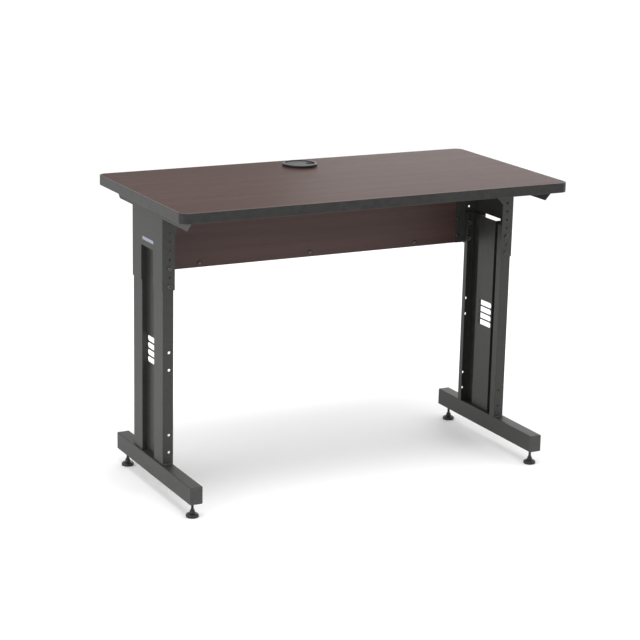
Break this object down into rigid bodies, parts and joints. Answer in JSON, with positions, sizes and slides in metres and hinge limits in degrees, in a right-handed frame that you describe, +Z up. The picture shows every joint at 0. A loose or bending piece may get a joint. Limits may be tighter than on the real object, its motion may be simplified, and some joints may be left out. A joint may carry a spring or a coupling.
{
  "type": "teacher desk",
  "caption": "Height-adjustable teacher desk: laminate top with cable grommet, sheet steel legs on foot bars with levelling glides, and a modesty panel.",
  "frame": {"origin": "on the floor, under the middle of the desktop", "axes": "+X to the right of the person sitting at the desk, +Y towards the modesty panel at the back, +Z up"},
  "size_m": [1.2192, 0.6096, 0.8715],
  "materials": {
    "laminate": "dark mahogany woodgrain laminate, satin",
    "panel_board": "particle board faced with dark mahogany laminate",
    "board": "raw particle board",
    "backer": "plain dark backer sheet",
    "black_vinyl": "black vinyl",
    "grommet_plastic": "black moulded plastic",
    "cap_plastic": "dark grey moulded plastic",
    "powder_coat": "charcoal fine-textured powder coat",
    "black_plastic": "black moulded plastic",
    "black_screws": "black oxide steel",
    "zinc_steel": "zinc plated steel"
  },
  "bodies": {
    "upper_desk": {"desktop_core": "board", "desktop_laminate": "laminate", "desktop_backer": "backer", "edge_band": "black_vinyl", "grommet_liner": "grommet_plastic", "left_support_rail": "powder_coat", "left_rail_screws": "zinc_steel", "left_sleeve": "powder_coat", "left_tab_screw": "zinc_steel", "left_height_bolts": "black_screws", "left_panel_bracket": "powder_coat", "left_bracket_screws": "black_screws", "right_support_rail": "powder_coat", "right_rail_screws": "zinc_steel", "right_sleeve": "powder_coat", "right_tab_screw": "zinc_steel", "right_height_bolts": "black_screws", "right_panel_bracket": "powder_coat", "right_bracket_screws": "black_screws", "modesty_panel": "panel_board", "panel_edging": "black_vinyl", "panel_stiffener": "powder_coat", "panel_screws": "black_screws"},
    "cable_cap": {"grommet_cap": "cap_plastic"},
    "left_leg": {"left_column": "powder_coat", "left_foot_bar": "powder_coat", "left_front_end_cap": "black_plastic", "left_rear_end_cap": "black_plastic", "left_height_nuts": "zinc_steel", "left_glide_inserts": "zinc_steel"},
    "right_leg": {"right_column": "powder_coat", "right_foot_bar": "powder_coat", "right_front_end_cap": "black_plastic", "right_rear_end_cap": "black_plastic", "right_height_nuts": "zinc_steel", "right_glide_inserts": "zinc_steel"},
    "left_front_glide": {"left_front_glide_stem": "black_screws", "left_front_glide_pad": "black_plastic"},
    "left_rear_glide": {"left_rear_glide_stem": "black_screws", "left_rear_glide_pad": "black_plastic"},
    "right_front_glide": {"right_front_glide_stem": "black_screws", "right_front_glide_pad": "black_plastic"},
    "right_rear_glide": {"right_rear_glide_stem": "black_screws", "right_rear_glide_pad": "black_plastic"}
  },
  "joints": [
    {"name": "left_height", "type": "slide", "parent": "upper_desk", "child": "left_leg", "axis": [0, 0, 1], "range_m": [0, 0.127]},
    {"name": "right_height", "type": "slide", "parent": "upper_desk", "child": "right_leg", "axis": [0, 0, 1], "range_m": [0, 0.127]},
    {"name": "left_front_level", "type": "slide", "parent": "left_leg", "child": "left_front_glide", "axis": [0, 0, 1], "range_m": [-0.015, 0.015]},
    {"name": "left_rear_level", "type": "slide", "parent": "left_leg", "child": "left_rear_glide", "axis": [0, 0, 1], "range_m": [-0.015, 0.015]},
    {"name": "right_front_level", "type": "slide", "parent": "right_leg", "child": "right_front_glide", "axis": [0, 0, 1], "range_m": [-0.015, 0.015]},
    {"name": "right_rear_level", "type": "slide", "parent": "right_leg", "child": "right_rear_glide", "axis": [0, 0, 1], "range_m": [-0.015, 0.015]},
    {"name": "cable_cap_turn", "type": "hinge", "parent": "upper_desk", "child": "cable_cap", "pos_m": [0, 0.218, 0.8663], "axis": [0, 0, 1], "continuous": true}
  ],
  "couplings": [
    {"joint": "right_height", "follows": "left_height", "ratio": 1}
  ]
}
